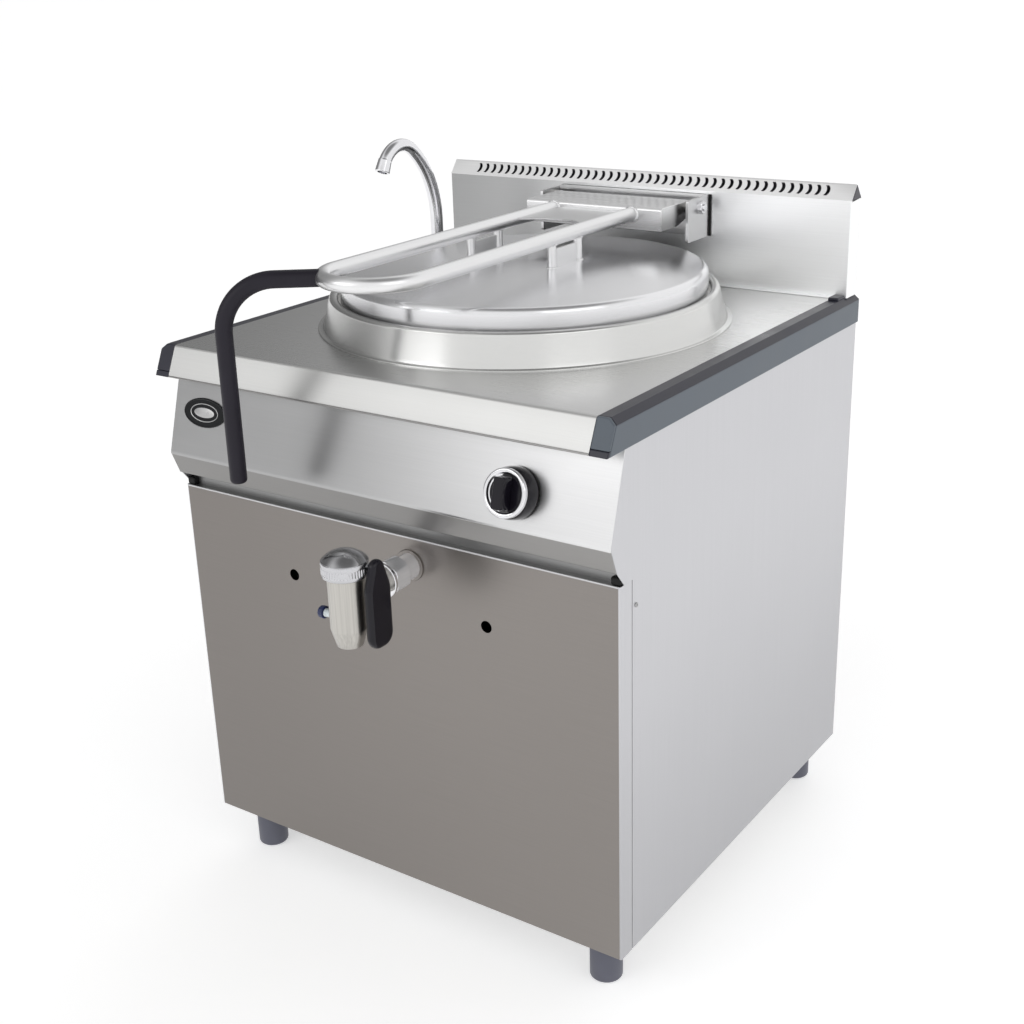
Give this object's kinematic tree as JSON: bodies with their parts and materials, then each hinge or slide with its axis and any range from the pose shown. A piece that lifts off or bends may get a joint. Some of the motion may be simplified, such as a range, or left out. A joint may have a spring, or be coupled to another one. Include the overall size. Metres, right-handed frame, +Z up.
{
  "type": "steam jacketed kettle",
  "caption": "Gas-heated steam jacketed kettle: round pan with hinged lid, swivel faucet and draw-off tap in a floor-standing steel cabinet on adjustable feet, with a slotted rear flue.",
  "frame": {"origin": "on the floor under the middle of the whole outline", "axes": "+Z up, +X to the right seen from the front, the front faces -Y"},
  "size_m": [0.8, 0.9362, 1.1475],
  "materials": {
    "front_steel": "brushed",
    "side_steel": "satin",
    "top_steel": "satin",
    "pan_steel": "brushed",
    "inner_steel": "satin",
    "slate_paint": "satin",
    "wool": "matt",
    "burner_iron": "matt",
    "chrome": "polished",
    "brass": "satin",
    "knob_plastic": "satin",
    "grip_plastic": "matt",
    "gasket_rubber": "matt",
    "badge_enamel": "gloss",
    "cock_plastic": "satin",
    "cap_plastic": "gloss"
  },
  "bodies": {
    "cabinet": {"base_tray": "inner_steel", "leg_sockets": "inner_steel", "side_panel_left": "side_steel", "side_panel_right": "side_steel", "rear_panel": "side_steel", "front_panel": "front_steel", "control_panel": "front_steel", "cross_rail": "inner_steel", "worktop": "top_steel", "edge_trim_left": "slate_paint", "edge_trim_right": "slate_paint", "pan_collar": "pan_steel", "pan_vessel": "pan_steel", "steam_jacket": "inner_steel", "jacket_insulation": "wool", "combustion_chamber": "inner_steel", "flue_duct": "inner_steel", "burner": "burner_iron", "drain_pipe": "pan_steel", "tap_flange": "chrome", "tap_union_nut": "chrome", "tap_body": "pan_steel", "tap_bonnet": "chrome", "level_cock_stem": "cock_plastic", "hinge_bracket": "pan_steel", "hinge_gasket": "gasket_rubber", "hinge_pin": "chrome", "hinge_nuts": "chrome", "hinge_spacers": "pan_steel", "flue_housing": "top_steel", "flue_cap": "top_steel", "faucet_base": "chrome", "faucet_nut": "brass", "water_pipe": "chrome", "gas_valve_body": "brass", "gas_supply_pipe": "inner_steel", "burner_gas_pipe": "brass", "badge_plate": "badge_enamel", "screws": "chrome"},
    "lid": {"lid_shell": "pan_steel", "lid_frame_tube": "pan_steel", "lid_posts": "pan_steel", "post_plates": "pan_steel", "frame_plate": "pan_steel", "hinge_bar": "pan_steel", "grip": "grip_plastic"},
    "spout": {"faucet_spout": "chrome", "faucet_nozzle": "chrome"},
    "tap_handle": {"tap_lever": "knob_plastic", "tap_shaft": "chrome"},
    "poppet": {"tap_poppet": "brass"},
    "rotor": {"valve_rotor": "brass"},
    "knob": {"knob_body": "knob_plastic", "knob_ring": "chrome", "valve_spindle": "chrome"},
    "cock_cap": {"level_cock_cap": "cap_plastic"},
    "front_left_foot": {"foot_front_left": "slate_paint"},
    "front_right_foot": {"foot_front_right": "slate_paint"},
    "rear_left_foot": {"foot_rear_left": "slate_paint"},
    "rear_right_foot": {"foot_rear_right": "slate_paint"}
  },
  "joints": [
    {"name": "lid_hinge", "type": "hinge", "parent": "cabinet", "child": "lid", "pos_m": [0, 0.39285, 1.035], "axis": [-1, 0, 0], "range_deg": [0, 85]},
    {"name": "spout_swivel", "type": "hinge", "parent": "cabinet", "child": "spout", "pos_m": [-0.33, 0.29485, 0.9], "axis": [0, 0, 1], "range_deg": [-120, 60]},
    {"name": "tap_lever_turn", "type": "hinge", "parent": "cabinet", "child": "tap_handle", "pos_m": [0.049, -0.41915, 0.67365], "axis": [-1, 0, 0], "range_deg": [0, 90]},
    {"name": "poppet_lift", "type": "slide", "parent": "cabinet", "child": "poppet", "axis": [0, 0, 1], "range_m": [0, 0.0198]},
    {"name": "valve_turn", "type": "hinge", "parent": "cabinet", "child": "rotor", "pos_m": [0.247, -0.30798, 0.775], "axis": [0, -0.9578, 0.2874], "range_deg": [0, 240]},
    {"name": "knob_push", "type": "slide", "parent": "rotor", "child": "knob", "axis": [0, 0.9578, -0.2874], "range_m": [0, 0.004], "stiffness_N_per_m": 1500, "springref_m": -0.003},
    {"name": "cock_cap_turn", "type": "hinge", "parent": "cabinet", "child": "cock_cap", "pos_m": [0.008, -0.43515, 0.59565], "axis": [-1, 0, 0], "range_deg": [0, 180]},
    {"name": "front_left_foot_adjust", "type": "slide", "parent": "cabinet", "child": "front_left_foot", "axis": [0, 0, -1], "range_m": [0, 0.02]},
    {"name": "front_right_foot_adjust", "type": "slide", "parent": "cabinet", "child": "front_right_foot", "axis": [0, 0, -1], "range_m": [0, 0.02]},
    {"name": "rear_left_foot_adjust", "type": "slide", "parent": "cabinet", "child": "rear_left_foot", "axis": [0, 0, -1], "range_m": [0, 0.02]},
    {"name": "rear_right_foot_adjust", "type": "slide", "parent": "cabinet", "child": "rear_right_foot", "axis": [0, 0, -1], "range_m": [0, 0.02]}
  ],
  "couplings": [
    {"joint": "poppet_lift", "follows": "tap_lever_turn", "m_per_rad": 0.012604}
  ]
}
